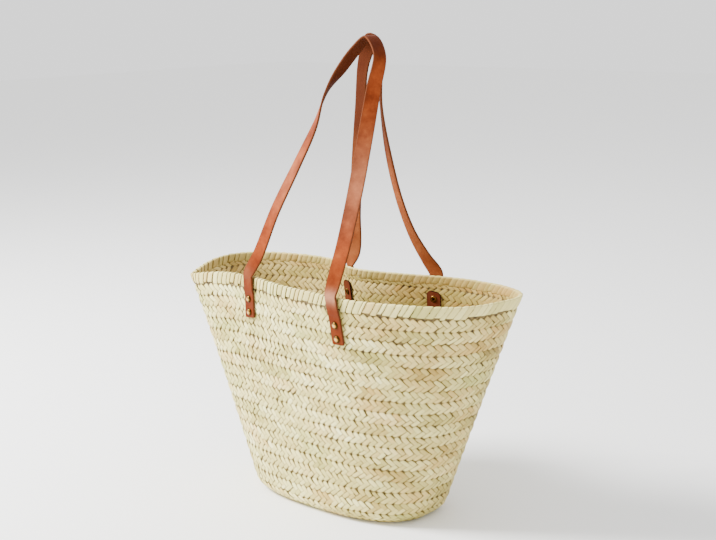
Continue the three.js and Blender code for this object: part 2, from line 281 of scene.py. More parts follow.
def palmLeaf(name):
    # leaf is the strand's tone, hue and own shift of the fibres; place is along it, across it and how
    # far inside, which sets where shade is painted at its ends, at its edges and inside the bag
    material, tree, surface = startMaterial(name, Roughness=0.6, IOR=1.45)
    surface.inputs["Specular IOR Level"].default_value = leafLook["gloss"]
    leaf = addNode(tree, "ShaderNodeAttribute", {"attribute_name": "leaf"})
    parts = addNode(tree, "ShaderNodeSeparateXYZ", links={"Vector": leaf.outputs["Vector"]})
    place = addNode(tree, "ShaderNodeAttribute", {"attribute_name": "place"})
    where = addNode(tree, "ShaderNodeSeparateXYZ", links={"Vector": place.outputs["Vector"]})
    strand = addNode(tree, "ShaderNodeUVMap", {"uv_map": "strand"})
    away = addNode(tree, "ShaderNodeCombineXYZ", links={"X": parts.outputs["Z"], "Y": parts.outputs["Z"]})
    shifted = addNode(tree, "ShaderNodeVectorMath", {"operation": "ADD"},
                      {0: strand.outputs["UV"], 1: away.outputs["Vector"]})
    stretch = addNode(tree, "ShaderNodeMapping", {
        "Scale": (1 / leafLook["fibreLengthMm"], leafLook["fibresPerMm"], 1)},
        {"Vector": shifted.outputs["Vector"]})
    fibres = addNode(tree, "ShaderNodeTexNoise", {"Scale": 1.0, "Detail": 3.0, "Roughness": 0.6},
                     {"Vector": stretch.outputs["Vector"]})
    tone = clampedSum(tree, fibres.outputs["Fac"], leafLook["fibreShare"], parts.outputs["X"])
    colour = colourRamp(tree, tone, leafLook["stops"])
    for text, start, end in leafLook["hues"]:
        part = addNode(tree, "ShaderNodeMapRange", {"From Min": start, "From Max": end,
                                                    "To Max": leafLook["hueMost"]},
                       {"Value": parts.outputs["Y"]})
        colour = mixColours(tree, part.outputs["Result"], colour, linearColour(text), "MULTIPLY")
    # painted shade: the edges darken where strands lie against each other and the ends where they tuck
    # under; the long edges also brown where the leaf was split
    for axis, start in leafLook["edgeFrom"]:
        far = addNode(tree, "ShaderNodeMath", {"operation": "ABSOLUTE"}, {0: where.outputs[axis]})
        part = smoothRange(tree, far.outputs["Value"], start, 1.0, leafLook["edgeMost"])
        colour = mixColours(tree, part, colour, linearColour(leafLook["edge"]), "MULTIPLY")
    # painted shade inside the bag: the inner strands are tinted a warmer, darker tan
    colour = mixColours(tree, where.outputs["Z"], colour, linearColour(leafLook["inside"]), "MULTIPLY")
    tree.links.new(colour, surface.inputs["Base Color"])
    bump = addNode(tree, "ShaderNodeBump", leafLook["bump"], {"Height": fibres.outputs["Fac"]})
    tree.links.new(bump.outputs["Normal"], surface.inputs["Normal"])
    return material


leafMaterial = palmLeaf("plaitedPalmLeaf")

# Painted shade between the strands: the leaf of the plait's second layer, painted dark for the shade it
# lies in
shadeLook = {"dark": "36291a", "light": "85703f", "patchMm": 3.3}
leafShade, shadeTree, shadeSurface = startMaterial("palmLeafUnderlayerShade", Roughness=0.9)
shadeNoise = addNode(shadeTree, "ShaderNodeTexNoise", {"Scale": 1000 / shadeLook["patchMm"]},
                     {"Vector": addNode(shadeTree, "ShaderNodeTexCoord").outputs["Object"]})
shadeTree.links.new(colourRamp(shadeTree, shadeNoise.outputs["Fac"],
                               [(0.3, shadeLook["dark"]), (0.7, shadeLook["light"])]),
                    shadeSurface.inputs["Base Color"])

# Plait: two rows of slanted strands to a course, the lower row leaning "/" and the upper one "\".

plait = {
    "spacing": 8.6,  # along the course
    "alongSteps": 5, "acrossPlaces": [-1, -0.5, 0.5, 1], "halfLength": 0.7,
    "width": 1.03, "widthSpread": 0.04, "widthRange": (0.8, 1.06), "slimShare": 0.15, "slimBy": 0.1,
    "jitter": 0.045, "taper": 0.32, "liftSpread": 0.09, "liftMost": 0.2, "tilt": 0.07,
    # place of the ends in row heights from the edge, and where a strand begins to be drawn in
    "seamEnd": -0.27, "seamPatch": 0.05, "seamSpread": 0.09, "seamFrom": 0.75, "upSpread": 0.03,
    # share of the dive and of the painted end shade that an end has in the middle of its course
    "middleDive": 0.35, "middleEndShade": 0.8,
    "patchTone": 0.3, "courseTone": 0.09, "strandTone": 0.09, "rightShadeTone": 0.22,
    "patchHue": 0.22, "courseHue": 0.16, "strandHue": 0.07, "rightShadeHue": 0.14, "seed": 11,
}


def strandField(share, travel, rng):
    # slow patches of tone round the bag and up it: a sum of a few sines with random phases
    field = np.zeros(share.shape)
    for k in range(8):
        around, up, phase = rng.integers(1, 12), rng.uniform(0.004, 0.03), rng.uniform(0, 6.28)
        field += np.sin(2 * np.pi * around * share + up * travel * 6.28 + phase)
    return field / 4


def courseField(share, low, rng):
    # each course was plaited from its own bundle: a slow change along it, from sines with a phase for
    # each course
    names, which = np.unique(low, return_inverse=True)
    field = np.zeros(share.shape)
    for around in (2, 3, 5, 8):
        phase = rng.uniform(0, 2 * np.pi, len(names))[which.reshape(low.shape)]
        field += np.sin(2 * np.pi * around * share + phase)
    return field / 2


def plaitStrands(courseEdges, side, rng, relief):
    # One strand is a patch with a along it and b across it, both from -1 to 1. In units of the spacing
    # and of the row height its place is (slant a / 2 - b / 4, a / 2 + slant b / 4), and its ends dive
    # under by dive |a|^2.5.
    a = np.linspace(-1, 1, plait["alongSteps"])[:, None]
    b = np.array(plait["acrossPlaces"])[None, :]
    rows = []
    for low, high in zip(courseEdges[:-1], courseEdges[1:]):
        middle = (low + high) / 2
        count = max(6, int(round(wayRound(middle) / plait["spacing"])))
        phase = rng.uniform()
        for row, slant in ((0, 1), (1, -1)):
            number = np.arange(count)
            start = (number + phase + row / 2 + rng.normal(0, plait["jitter"], count)) / count
            rows.append(np.stack([
                start, np.full(count, low), np.full(count, high), np.full(count, row),
                np.full(count, slant), np.full(count, 1 / count),
            ], -1))
    table = np.concatenate(rows)[:, :, None, None]
    start, low, high, row, slant, step = (table[:, i] for i in range(6))
    n = len(start)
    width = np.clip(rng.normal(plait["width"], plait["widthSpread"], (n, 1, 1)), *plait["widthRange"])
    width = width - plait["slimBy"] * (rng.uniform(0, 1, (n, 1, 1)) < plait["slimShare"])
    turn = rng.normal(0, plait["jitter"], (n, 1, 1))
    # a strand narrows towards its course's edge, which leaves a slanting slit beside it
    width = width * (1 - rng.uniform(0, plait["taper"], (n, 1, 1)) * np.clip(-slant * a, 0, 1) ** 2)
    u = slant * a * (0.5 + turn) - 0.25 * b * width
    v = 0.5 + row + a * 0.5 + 0.25 * slant * b * width
    # strands turn back at a course's two edges, some sooner than others: the part from a tip's own place
    # to seamFrom is stretched evenly to end at reach
    tip = -0.25
    reach = plait["seamEnd"] + plait["seamPatch"] * courseField(start, low, rng)
    reach = reach + rng.normal(0, plait["seamSpread"], (n, 1, 1))
    for flip in (False, True):
        near = 2 - v if flip else v
        drawn = reach + (near - tip) / (plait["seamFrom"] - tip) * (plait["seamFrom"] - reach)
        near = np.where(near < plait["seamFrom"], drawn, near)
        v = 2 - near if flip else near
    v = v + rng.normal(0, plait["upSpread"], (n, 1, 1))
    share = start + u * step
    travel = low + (high - low) * v / 2
    lift = rng.normal(0, plait["liftSpread"], (n, 1, 1))
    lift = np.clip(lift, -plait["liftMost"], plait["liftMost"])
    tilt = rng.normal(0, plait["tilt"], (n, 1, 1)) * b
    off = relief["base"] + relief["rib"] * (1 - (v - 1) ** 2) + relief["crown"] * (1 - b ** 2) + lift + tilt
    toMiddle = slant * a > 0
    off = off + relief["dive"] * (1 - np.abs(a) ** 2.5 * np.where(toMiddle, plait["middleDive"], 1))
    points = surfaceAt(share, travel, side * off)
    shape = (n, a.shape[0], b.shape[1])
    tone = relief["tone"] + plait["patchTone"] * strandField(start, low, rng) / 2
    tone = tone + rng.normal(0, plait["strandTone"], (n, 1, 1))
    tone = tone + plait["courseTone"] * courseField(start, low, rng)
    hue = 0.5 + plait["patchHue"] * strandField(start, low, rng)
    hue = hue + rng.normal(0, plait["strandHue"], (n, 1, 1))
    hue = hue + plait["courseHue"] * courseField(start, low, rng)
    rightEndShade = np.clip(np.cos(2 * np.pi * start), 0, 1) ** 2  # painted shade: that end of the bag, turned from the key lamp, is painted a darker tan
    tone = tone - plait["rightShadeTone"] * rightEndShade
    hue = hue - plait["rightShadeHue"] * rightEndShade
    leaf = stacked(shape, tone, np.clip(hue, 0, 1), rng.uniform(0, leafLook["shiftMm"], (n, 1, 1)))
    # place carries the painted shade: x at the ends, y at the edges, z inside the bag
    place = stacked(shape, a * np.where(toMiddle, plait["middleEndShade"], 1), b, float(side < 0))
    halfLength = plait["spacing"] * plait["halfLength"]
    uv = stacked(shape, a * halfLength, b * halfLength / 2)
    return points, leaf.reshape(-1, 3), place.reshape(-1, 3), uv.reshape(-1, 2)


def strandFaces(count, rows, columns, outwards):
    # the grid of the strand's face, and one flat face closing it behind along its outline
    quads = gridFaces(rows, columns)
    rim = np.concatenate([
        np.arange(columns), np.arange(1, rows) * columns + columns - 1,
        (rows - 1) * columns + np.arange(columns - 2, -1, -1), np.arange(rows - 2, 0, -1) * columns,
    ])
    loops = np.concatenate([quads[:, ::-1].ravel(), rim])
    starts = np.concatenate([np.arange(len(quads)) * 4, [len(quads) * 4]])
    if not outwards:
        loops = np.concatenate([quads.ravel(), rim[::-1]])
    each = np.arange(count)[:, None]
    allLoops = (loops[None, :] + each * rows * columns).ravel()
    allStarts = (starts[None, :] + each * len(loops)).ravel()
    return allStarts, allLoops


def makePlait(name, courseEdges, side, relief, nodes=()):
    rng = np.random.default_rng(plait["seed"] + len(name))
    points, leaf, place, uv = plaitStrands(courseEdges, side, rng, relief)
    rows, columns = points.shape[1:3]
    starts, loops = strandFaces(len(points), rows, columns, side > 0)
    piece = makeMesh(name, points.reshape(-1, 3), starts, loops, leafMaterial, nodes,
                     layers={"leaf": leaf, "place": place, "uv": uv})
    print(f"{name}: {len(points)} strands")
    return piece


courseTop = wallTop - basket["bandHeight"] - basket["ribHeight"]
wallEdges = np.linspace(footArc, courseTop, basket["courses"] + 1)
footEdges = np.linspace(0, footArc, 3)
baseEdges = np.linspace(-flatReach, 0, 5)
outerEdges = np.concatenate([footEdges[:-1], wallEdges])
# distances out of the skin in mm: where a strand's corners are, and how far its course, its middle line
# and its ends rise or dive
outsideRelief = {"base": 0.6, "rib": 0.95, "crown": 0.42, "dive": 0.5, "tone": 0.5}
# the lower tone inside is part of the painted shade inside the bag
insideRelief = {"base": 0.45, "rib": 0.15, "crown": 0.35, "dive": 0.3, "tone": 0.42}
baseRelief = {"base": 0.5, "rib": 0.3, "crown": 0.4, "dive": 0.4, "tone": 0.4}
makePlait("wallPlaitOutside", outerEdges, 1, outsideRelief, ["basket_body"])
innerEdges = np.append(outerEdges, courseTop + 11)  # one course more, up under the rim band
makePlait("wallPlaitInside", innerEdges, -1, insideRelief)
makePlait("basePlaitOutside", baseEdges, 1, baseRelief)
makePlait("basePlaitInside", baseEdges, -1, insideRelief)

# Underlayer: a thin closed shell in the middle of the wall, seen only between the strands, painted dark as
# their shade

shell = {
    "out": 0.4, "in": -0.35, "around": 240,
    "travels": np.concatenate([np.linspace(-flatReach * 0.97, 0, 8), np.linspace(1, footArc, 12),
                               np.linspace(footArc + 6, courseTop + 5, 60)]),
}


def makeShell():
    # the skin's points at two distances out of it, joined over the top edge and closed at the base's middle
    shares = np.arange(shell["around"]) / shell["around"]
    travels = shell["travels"][:, None]
    outer, inner = (surfaceAt(shares[None, :], travels + 0 * shares, np.full((len(travels), 1), shell[key]))
                    for key in ("out", "in"))
    points = np.concatenate([outer, inner[::-1]]).reshape(-1, 3)
    rows = 2 * len(travels)
    quads = gridFaces(rows, shell["around"], wrapRows=True, wrapColumns=True)
    starts, loops = quadLoops(quads)
    return makeMesh("wallUnderlayer", points, starts, loops, leafShade)


makeShell()
print("basket plaited")


# Rim band: broad leaf strips folded over the edge, slanting as they go, each lying a little over the next

bandLook = {
    "stripWidth": 8.2, "halfWidth": (0.46, 0.55), "cutSpread": 0.14, "slant": 13.0, "slantSpread": 0.8,
    "out": 1.5, "in": -1.5, "low": 12.8, "lowInside": 9.0, "topRise": 1.6, "topFlat": 0.75,
    "shingle": 0.8, "crown": 0.5, "liftSpread": 0.08, "tuck": 1.1, "tuckLength": 2,
    # mm by which an end may lie lower, or higher inside and outside, and the length that takes it up
    "endLower": -1.3, "endHigher": (1.3, 2.4), "endLength": 6,
    "tone": 0.46, "patchTone": 0.14, "stripTone": 0.09, "patchHue": 0.25, "stripHue": 0.09,
    # how far painted shade darkens a strip's edges, outside and inside, and the length of it at its ends
    "firm": (0.82, 1.0), "firmInside": 0.97, "endShadeLength": 4, "steps": 24, "across": 6, "seed": 31,
}


def bandProfile(steps):
    # an upside-down U over the edge: up outside, half an ellipse over the top, down inside
    reach = (bandLook["out"] - bandLook["in"]) / 2
    bottom = basket["height"] - bandLook["low"]
    rise = reach * bandLook["topFlat"]
    shoulder = basket["height"] + bandLook["topRise"] - rise
    up = np.linspace(bottom, shoulder, steps // 3)
    turn = np.linspace(0, np.pi, steps - 2 * (steps // 3) + 2)[1:-1]
    down = np.linspace(shoulder, basket["height"] - bandLook["lowInside"], steps // 3)
    skin = np.concatenate([np.full(up.shape, bandLook["out"]), reach * np.cos(turn),
                           np.full(down.shape, bandLook["in"])])
    height = np.concatenate([up, shoulder + rise * np.sin(turn), down])
    away = np.concatenate([np.tile([[1, 0]], (len(up), 1)), np.stack([np.cos(turn), np.sin(turn)], -1),
                           np.tile([[-1, 0]], (len(down), 1))])
    inside = np.concatenate([0 * up, np.clip(turn / np.pi * 2 - 1, 0, 1), 1 + 0 * down])
    return skin, height, away, inside


def makeBand():
    # b across a strip from -1 to 1: it rises from under its neighbour to over the next one
    rng = np.random.default_rng(bandLook["seed"])
    around = wayRound(wallTop)
    count = int(around / bandLook["stripWidth"])
    skin, height, away, inside = bandProfile(bandLook["steps"])
    run = np.concatenate([[0], np.cumsum(np.hypot(np.diff(skin), np.diff(height)))])
    b = np.linspace(-1, 1, bandLook["across"])[None, None, :]
    along = run[None, :, None]
    cuts = (np.arange(count) + rng.normal(0, bandLook["cutSpread"], count)) / count
    widths = (np.roll(cuts, -1) - cuts) % 1
    start, width = cuts[:, None, None], widths[:, None, None]
    slant = bandLook["slant"] + rng.normal(0, bandLook["slantSpread"], (count, 1, 1))
    lean = slant * (along - run.mean()) / run[-1] / around
    share = start + width * (0.5 + rng.uniform(*bandLook["halfWidth"], (count, 1, 1)) * b) + lean
    end = np.minimum(along, run[-1] - along)
    lift = bandLook["shingle"] * (b + 1) / 2 + bandLook["crown"] * (1 - b ** 2)
    lift = lift + rng.normal(0, bandLook["liftSpread"], (count, 1, 1))
    # the ends are drawn in under the first course
    lift = lift - bandLook["tuck"] * np.exp(-end / bandLook["tuckLength"])
    off = np.broadcast_to(lift, share.shape)
    skins = skin[None, :, None] + off * away[None, :, 0, None]
    heights = height[None, :, None] + off * away[None, :, 1, None]
    for fromEnd, most in zip((run[-1] - run, run), bandLook["endHigher"]):
        moved = rng.uniform(bandLook["endLower"], most, (count, 1, 1))
        heights = heights + moved * np.clip(1 - fromEnd / bandLook["endLength"], 0, 1)[None, :, None]
    points = wallPoint(angleAt(share, heights), heights, skins)
    tone = bandLook["tone"] + bandLook["patchTone"] * strandField(start, wallTop, rng)
    tone = tone + rng.normal(0, bandLook["stripTone"], (count, 1, 1))
    hue = 0.5 + bandLook["patchHue"] * strandField(start, wallTop, rng)
    hue = np.clip(hue + rng.normal(0, bandLook["stripHue"], (count, 1, 1)), 0, 1)
    shape = share.shape
    firm = rng.uniform(*bandLook["firm"], (count, 1, 1))
    firm = firm + (bandLook["firmInside"] - firm) * inside[None, :, None]
    leaf = stacked(shape, tone, hue, rng.uniform(0, leafLook["shiftMm"], (count, 1, 1)))
    # painted shade: the ends darken where they tuck under the first course, the edges where one strip lies
    # on the next, and the inner side as shade inside the bag
    endShade = np.clip(1 - end / bandLook["endShadeLength"], 0, 1)
    place = stacked(shape, endShade, b * firm, inside[None, :, None])
    uv = stacked(shape, along, b * bandLook["stripWidth"] / 2)
    starts, loops = strandFaces(count, bandLook["steps"], bandLook["across"], True)
    layers = {"leaf": leaf.reshape(-1, 3), "place": place.reshape(-1, 3), "uv": uv.reshape(-1, 2)}
    return makeMesh("rimBandStrips", points.reshape(-1, 3), starts, loops, leafMaterial,
                    ["rim_band"], layers=layers)


makeBand()
print("rim band folded over")


# Strap leather: vegetable-tanned cowhide, dyed tan, rolled smooth and waxed. A soft gloss over a fine
# grain, a cloudy dye, burnished dark cut edges and a duller flesh side.

strapLook = {
    "stops": [(0.3, "602510"), (0.45, "7a3315"), (0.58, "8d401b"), (0.72, "a05428")],
    "flesh": [(0.3, "74371b"), (0.5, "884a27"), (0.7, "9a5832")],
    "edge": "5a2f19", "paintedHighlight": "d9a07c", "loopTopDark": "3c1608", "deep": "4d1a06",
    # heights in m where a shade begins and is full, and its share there
    "loopTopDarkHeights": (-0.045, -0.005, 0.8), "fleshShadowHeights": (-0.2, -0.1, 0.9),
    "deepHeights": (-0.24, -0.29, 0.65),
    "uneven": {"From Min": 0.35, "From Max": 0.65, "To Min": 0.6, "To Max": 1.3},
    "rough": {"To Min": 0.34, "To Max": 0.52}, "fleshRough": 0.3, "gloss": 0.04,
    "grainMm": 0.7, "grainBump": {"Strength": 0.18, "Distance": 0.0002},
    "cloudMm": 28.0, "cloudBump": {"Strength": 0.25, "Distance": 0.001},
}
tabLook = {
    "stops": [(0.3, "683425"), (0.5, "7d4431"), (0.7, "93573f")],
    "flesh": [(0.3, "451d0f"), (0.7, "63301b")], "edge": "240f07",
}


def strapLeather(name, look):
    # side.x is 1 on the burnished edge, side.y on the flesh side and side.z where a highlight is painted
    # pale
    material, tree, surface = startMaterial(name, Roughness=0.42, IOR=1.45)
    surface.inputs["Specular IOR Level"].default_value = strapLook["gloss"]
    place = addNode(tree, "ShaderNodeTexCoord").outputs["Object"]
    side = addNode(tree, "ShaderNodeAttribute", {"attribute_name": "side"})
    parts = addNode(tree, "ShaderNodeSeparateXYZ", links={"Vector": side.outputs["Vector"]})
    cloud = addNode(tree, "ShaderNodeTexNoise", {
        "Scale": 1000 / strapLook["cloudMm"], "Detail": 5.0, "Roughness": 0.65}, {"Vector": place})
    grain = addNode(tree, "ShaderNodeTexVoronoi", {"Scale": 1000 / strapLook["grainMm"], "feature": "F1"},
                    {"Vector": place})
    # both sides are darker near the top of the loops, the flesh side further down: there it is a painted
    # shadow; the grain side is only made darker near the crown
    height = addNode(tree, "ShaderNodeSeparateXYZ", links={"Vector": place})
    sides = []
    for key, heights in (("stops", "loopTopDarkHeights"), ("flesh", "fleshShadowHeights")):
        loopTopDark = smoothRange(tree, height.outputs["Z"], *strapLook[heights])
        dyed = colourRamp(tree, cloud.outputs["Fac"], look[key])
        sides.append(mixColours(tree, loopTopDark, dyed, linearColour(strapLook["loopTopDark"])))
    # the leather is made darker towards the seats, low on the legs
    deep = smoothRange(tree, height.outputs["Z"], *strapLook["deepHeights"])
    sides[0] = mixColours(tree, deep, sides[0], linearColour(strapLook["deep"]))
    uneven = addNode(tree, "ShaderNodeMapRange", strapLook["uneven"], {"Value": cloud.outputs["Fac"]})
    highlightShare = addNode(tree, "ShaderNodeMath", {"operation": "MULTIPLY", "use_clamp": True},
                     {0: uneven.outputs["Result"], 1: parts.outputs["Z"]})
    # painted highlight on the grain side where side.z says
    colour = mixColours(tree, highlightShare.outputs["Value"], sides[0], linearColour(strapLook["paintedHighlight"]))
    colour = mixColours(tree, parts.outputs["Y"], colour, sides[1])
    colour = mixColours(tree, parts.outputs["X"], colour, linearColour(look["edge"]))
    tree.links.new(colour, surface.inputs["Base Color"])
    rough = addNode(tree, "ShaderNodeMapRange", strapLook["rough"], {"Value": cloud.outputs["Fac"]})
    dull = clampedSum(tree, parts.outputs["Y"], strapLook["fleshRough"], rough.outputs["Result"])
    tree.links.new(dull, surface.inputs["Roughness"])
    bump = addNode(tree, "ShaderNodeBump", strapLook["grainBump"], {"Height": grain.outputs["Distance"]})
    soft = addNode(tree, "ShaderNodeBump", strapLook["cloudBump"],
                   {"Height": cloud.outputs["Fac"], "Normal": bump.outputs["Normal"]})
    tree.links.new(soft.outputs["Normal"], surface.inputs["Normal"])
    return material


strapMaterial = strapLeather("vegetableTannedStrapLeather", strapLook)
tabMaterial = strapLeather("vegetableTannedTabLeather", tabLook)

# Straps and tabs: flat strips with rounded edges along the part's own routes

strap = {
    "width": 18, "thickness": 2.6, "crownApart": 20, "endDrop": 55, "gap": 1, "round": 0.9, "perRow": 10,
    "endTaper": 0.8, "highlightAt": (57, 190), "highlightSpread": (8, 50),
}
tab = {"width": 19, "thickness": 1.8, "topDrop": 17, "endDrop": 55, "gap": 0.6, "topRound": 6, "round": 0.5}
band = {"height": 13, "leaf": 1.6, "gap": 0.5, "seatRoom": 8}
rivet = {
    "drops": (31.5, 48), "gap": 0.3, "around": 40,
    # radius, way out of the seat and wear: the cap's from its middle to the post, then the head's rim
    "cap": [(0, -0.35, 0), (0.8, -0.4, 0), (1, -0.9, 0.1), (2.6, -1.2, 0.5), (3.2, -1.15, 0.5),
            (3.7, -0.9, 0.3), (4.2, -0.4, 0.1), (4.2, 0, 0), (1.5, 0, 0)],
    "head": [(1.5, 0, 0), (4.6, 0, 0), (4.6, 0.3, 0.2), (4.25, 0.5, 0.1)],
    "domeRadius": 3.85, "domeFrom": 0.25, "domeHeight": 1.95, "domeSteps": 12, "domeWear": (0.05, 0.9),
}
seatShares = np.array([1, 0.93, 0.8, 0.65, 0.5, 0.38, 0.3, 0.22, 0.12, 0.02, -0.09])
# rise to the crown, sideways bow, heading and upward turn of the outer face in degrees
legRoutes = {
    "frontLeft": [(0.09, 0, -96, 0), (0.28, -0.104, -105, 0), (0.48, -0.133, -115, 0),
                  (0.64, -0.167, -126, 0), (0.77, -0.27, -148, 4), (0.87, -0.205, -185, 25),
                  (0.95, -0.117, -195, 42)],
    "frontRight": [(0.05, 0.02, -80, 0), (0.2, 0.1, -75, 0), (0.4, 0.163, -65, 0), (0.62, 0.196, -45, 0),
                   (0.8, 0.215, -28, 0), (0.93, 0.23, -12, 10)],
    "backLeft": [(0.06, 0.096, 92, 0), (0.24, 0, 90, 0), (0.46, -0.09, 86, 0), (0.7, -0.158, 80, 0),
                 (0.9, -0.182, 80, 22)],
    "backRight": [(0.06, -0.15, 82, 0), (0.16, -0.34, 70, 0), (0.3, -0.44, 65, 0), (0.5, -0.42, 61, 0),
                  (0.72, -0.27, 46, 0), (0.9, -0.02, 50, 18)],
}
straps = [
    {"name": "front", "side": -1, "spacing": 0.368, "shift": 0.001, "lift": (0.11, 0.036),
     "crownShift": 0.25, "crownFace": 0, "crownTip": 88, "legs": ("frontLeft", "frontRight"),
     "highlightShare": ((0.06, 0.1), (0.36, 0.2))},
    {"name": "back", "side": 1, "spacing": 0.277, "shift": 0.0185, "lift": (0, 0.09),
     "crownShift": -0.25, "crownFace": 80, "crownTip": 72, "legs": ("backLeft", "backRight"),
     "highlightShare": ((0.1, 0.1), (0.1, 0.1))},
]


def unit(vectors):
    return vectors / np.linalg.norm(vectors, axis=-1, keepdims=True)


def seatOn(which, hand, drops, skins):
    # the place on the wall at each drop below the rim, by looking up the angle at which the plan has that x
    heights = basket["height"] - np.asarray(drops, float)
    share = heights / basket["height"]
    power = basket["baseSquareness"] + (basket["rimSquareness"] - basket["baseSquareness"]) * share
    halfLength = (basket["baseLength"] + (basket["rimLength"] - basket["baseLength"]) * share) / 2
    x = (which["shift"] + (hand - 0.5) * which["spacing"]) * basket["rimLength"]
    fine = np.linspace(0.001, np.pi - 0.001, 2000)[None, :]
    c, s = np.cos(fine), np.sin(fine)
    got = c * (np.abs(c) ** power[:, None] + s ** power[:, None]) ** (-1 / power[:, None])
    nearest = np.argmin(np.abs(got - (x / halfLength)[:, None]), axis=1)
    angle = which["side"] * fine[0, nearest]
    at = wallPoint(angle, heights, 0.0)
    along = wallPoint(angle + 0.02, heights, 0.0) - wallPoint(angle - 0.02, heights, 0.0)
    up = unit(wallPoint(angle, heights + 2, 0.0) - wallPoint(angle, heights - 2, 0.0))
    out = unit(np.cross(along, up))
    return at + out * np.asarray(skins)[..., None], np.cross(up, out), out


def strapSkin(drop):
    # over the courses low down, over the rim band at the top, with a smooth step between
    t = np.clip((drop - band["height"]) / band["seatRoom"], 0, 1)
    t = t * t * (3 - 2 * t)
    overCourse = basket["wall"] / 2 + basket["ribHeight"] + strap["gap"] + strap["thickness"] / 2
    overBand = basket["wall"] / 2 + band["gap"] + band["leaf"] + strap["gap"] + strap["thickness"] / 2
    return overBand + (overCourse - overBand) * t


def facing(heading, tip):
    heading, tip = np.radians(heading), np.radians(tip)
    return np.stack([np.cos(tip) * np.cos(heading), np.cos(tip) * np.sin(heading), np.sin(tip)], -1)


def legStations(which, hand):
    endDrop = strap["endDrop"] * (1 - which["lift"][hand])
    drops = seatShares * endDrop
    at, _, out = seatOn(which, hand, drops, strapSkin(drops))
    route = np.array(legRoutes[which["legs"][hand]], float)
    crown = crownOf(which)
    free = at[-1] + (crown - at[-1]) * route[:, :1]
    free[:, 0] += route[:, 1] * which["spacing"] * basket["rimLength"] / 2
    return np.concatenate([at, free]), np.concatenate([out, facing(route[:, 2], route[:, 3])])


def crownOf(which):
    apart = strap["crownApart"]
    return np.array([which["crownShift"] * apart, which["side"] * apart / 2, strap["thickness"] / 2])


def smoothLine(points, values, perRow):
    # centripetal Catmull-Rom through points; values are carried along by the same weights
    ends = np.concatenate([2 * points[:1] - points[1:2], points, 2 * points[-1:] - points[-2:-1]])
    extra = np.concatenate([values[:1], values, values[-1:]])
    knots = np.concatenate([[0], np.cumsum(np.linalg.norm(np.diff(ends, axis=0), axis=1) ** 0.5)])
    last = len(points) - 1
    seg = np.repeat(np.arange(last), perRow)
    part = np.tile(np.arange(perRow) / perRow, last)
    seg, part = np.append(seg, last - 1), np.append(part, 1.0)
    t = [knots[seg + k][:, None] for k in range(4)]
    here = t[1] + (t[2] - t[1]) * part[:, None]

    def blended(rows):
        p = [rows[seg + k] for k in range(4)]
        a = [((t[k + 1] - here) * p[k] + (here - t[k]) * p[k + 1]) / (t[k + 1] - t[k]) for k in range(3)]
        b = [((t[k + 2] - here) * a[k] + (here - t[k]) * a[k + 1]) / (t[k + 2] - t[k]) for k in range(2)]
        return ((t[2] - here) * b[0] + (here - t[1]) * b[1]) / (t[2] - t[1])

    return blended(ends), blended(extra)


def stripSection(halfWidths, halfThickness, corner):
    # a rectangle with its corners rounded by quarter circles; the long sides have points between them,
    # and the burnish fades inwards from the edges, round a corner as 0.35 + 0.65 |c|^0.7
    turn = np.radians([0, 30, 60, 90])
    corners = [(1, 1, 0), (-1, 1, 90), (-1, -1, 180), (1, -1, 270)]
    between = np.array([0.86, 0.4, 0, -0.4, -0.86])
    across, deep, edge = [], [], []
    for sx, sy, first in corners:
        c, s = np.cos(turn + np.radians(first)), np.sin(turn + np.radians(first))
        across.append(sx * (halfWidths[:, None] - corner) + corner * c)
        deep.append(np.broadcast_to(sy * (halfThickness - corner) + corner * s, (len(halfWidths), 4)))
        edge.append(0.35 + 0.65 * np.abs(c) ** 0.7)
        if sx == sy:  # the corner that a long side follows
            across.append(between * sx * (halfWidths[:, None] - corner))
            deep.append(np.full((len(halfWidths), len(between)), sy * halfThickness))
            edge.append(0.1 * (np.abs(between) > 0.8))
    return np.concatenate(across, 1), np.concatenate(deep, 1), np.concatenate(edge)


def makeStrip(name, at, wide, out, halfWidths, form, material, nodes, highlightShare=0):
    # the section carried along the line and closed by a flat face at each end
    halfThickness = form["thickness"] / 2
    across, deep, edge = stripSection(halfWidths, halfThickness, form["round"])
    points = at[:, None] + wide[:, None] * across[..., None] + out[:, None] * deep[..., None]
    rows, columns = points.shape[:2]
    quads = gridFaces(rows, columns, wrapColumns=True)[:, ::-1]
    starts, loops = quadLoops(quads)
    first, last = np.arange(columns), (rows - 1) * columns + np.arange(columns)[::-1]
    starts = np.concatenate([starts, [len(loops), len(loops) + columns]])
    loops = np.concatenate([loops, first, last])
    edges = np.broadcast_to(edge, (rows, columns)).copy()
    edges[:2], edges[-2:] = 1, 1
    flesh = np.clip(-deep / halfThickness * 4 + 0.5, 0, 1)
    highlightRows = np.broadcast_to(np.reshape(highlightShare, (-1, 1)), (rows, columns))
    side = np.stack([edges, flesh, highlightRows], -1).reshape(-1, 3)
    return makeMesh(name, points.reshape(-1, 3), starts, loops, material, nodes, 40, {"side": side})


